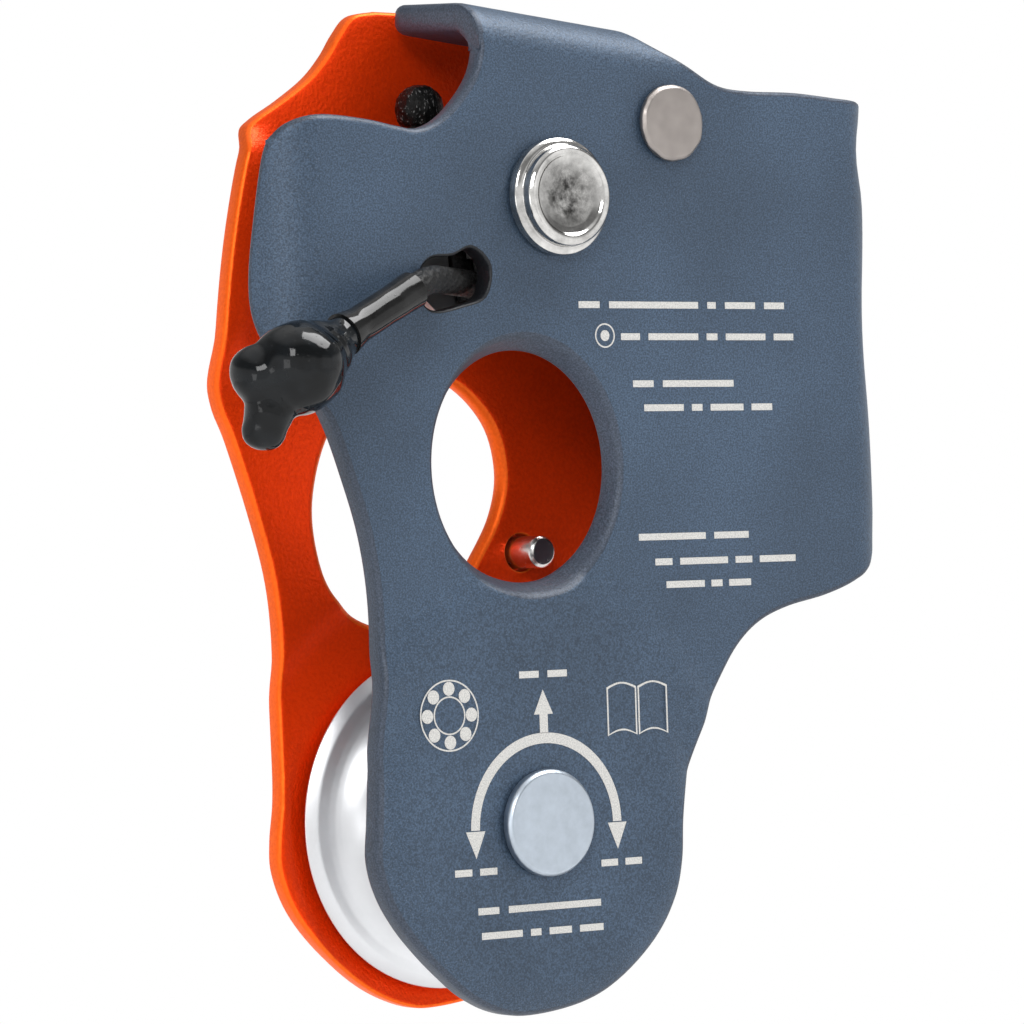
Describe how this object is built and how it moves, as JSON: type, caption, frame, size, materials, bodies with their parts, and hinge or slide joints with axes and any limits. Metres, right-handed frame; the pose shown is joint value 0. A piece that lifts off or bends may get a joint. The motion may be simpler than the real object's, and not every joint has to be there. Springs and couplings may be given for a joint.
{
  "type": "rope pulley",
  "caption": "Rope-grab pulley: sheave on ball bearings between a fixed and a swinging side plate, carabiner eye, sprung toothed cam in a rope channel and a release cord.",
  "frame": {"origin": "centre of the carabiner eye, midway between the two side plates", "axes": "+Z from the sheave towards the eye and up, +X towards the rope channel, +Y towards the swinging rear plate"},
  "size_m": [0.0771, 0.0311, 0.092],
  "materials": {
    "slate_plate": "slate-blue anodised, fine grain",
    "orange_plate": "orange coat, faint orange-peel",
    "steel": "bright turned steel",
    "zinc_steel": "zinc-plated, satin",
    "cam_steel": "satin cast steel",
    "spring_steel": "drawn wire",
    "matte_steel": "dull, burred rim",
    "dark_steel": "blackened",
    "satin_aluminium": "turned, satin",
    "bronze": "plain bearing bronze",
    "nylon": "moulded",
    "cord": "braided black cord",
    "clear_sleeve": "clear shrunk tube over black cord",
    "dipped_rubber": "glossy dipped coat"
  },
  "bodies": {
    "frame": {"front_plate": "slate_plate", "sheave_axle": "zinc_steel", "axle_rear_washer": "zinc_steel", "axle_spacer_front": "steel", "axle_spacer_rear": "steel", "bearing_inner_race": "steel", "cam_axle": "steel", "cam_washer_front": "steel", "cam_washer_rear": "steel", "cam_retaining_ring": "dark_steel", "cam_stop_rivet": "matte_steel"},
    "rear_plate": {"rear_plate": "orange_plate", "rear_plate_pin": "steel", "rear_plate_bush": "bronze"},
    "sheave": {"sheave": "satin_aluminium", "bearing_outer_race": "steel", "bearing_shield_front": "dark_steel", "bearing_shield_rear": "dark_steel"},
    "ball_set": {"bearing_cage": "nylon", "bearing_ball_1": "steel", "bearing_ball_2": "steel", "bearing_ball_3": "steel", "bearing_ball_4": "steel", "bearing_ball_5": "steel", "bearing_ball_6": "steel", "bearing_ball_7": "steel", "bearing_ball_8": "steel"},
    "cam": {"cam": "cam_steel", "cam_bush": "bronze", "cam_spring": "spring_steel", "cord_tail": "cord", "cord_end_bead": "cord"},
    "release_pull": {"release_cord": "cord", "cord_sleeve": "clear_sleeve", "cord_knot": "dipped_rubber"}
  },
  "joints": [
    {"name": "rear_plate_swing", "type": "hinge", "parent": "frame", "child": "rear_plate", "pos_m": [0.0005, 0, -0.032], "axis": [0, -1, 0], "range_deg": [0, 120]},
    {"name": "sheave_spin", "type": "hinge", "parent": "frame", "child": "sheave", "pos_m": [0.0005, 0, -0.032], "axis": [0, 1, 0], "continuous": true},
    {"name": "ball_set_spin", "type": "hinge", "parent": "frame", "child": "ball_set", "pos_m": [0.0005, 0, -0.032], "axis": [0, 1, 0], "continuous": true},
    {"name": "cam_swing", "type": "hinge", "parent": "frame", "child": "cam", "pos_m": [0.0044, 0, 0.0242], "axis": [0, 1, 0], "range_deg": [0, 38], "stiffness_Nm_per_rad": 0.02, "springref_deg": -34.38, "deforming": ["cam_spring"]},
    {"name": "release_slide", "type": "slide", "parent": "frame", "child": "release_pull", "axis": [-0.8, -0.6, 0], "range_m": [0, 0.004]}
  ],
  "couplings": [
    {"joint": "ball_set_spin", "follows": "sheave_spin", "ratio": 0.593},
    {"joint": "release_slide", "follows": "cam_swing", "m_per_rad": 0.006025}
  ]
}
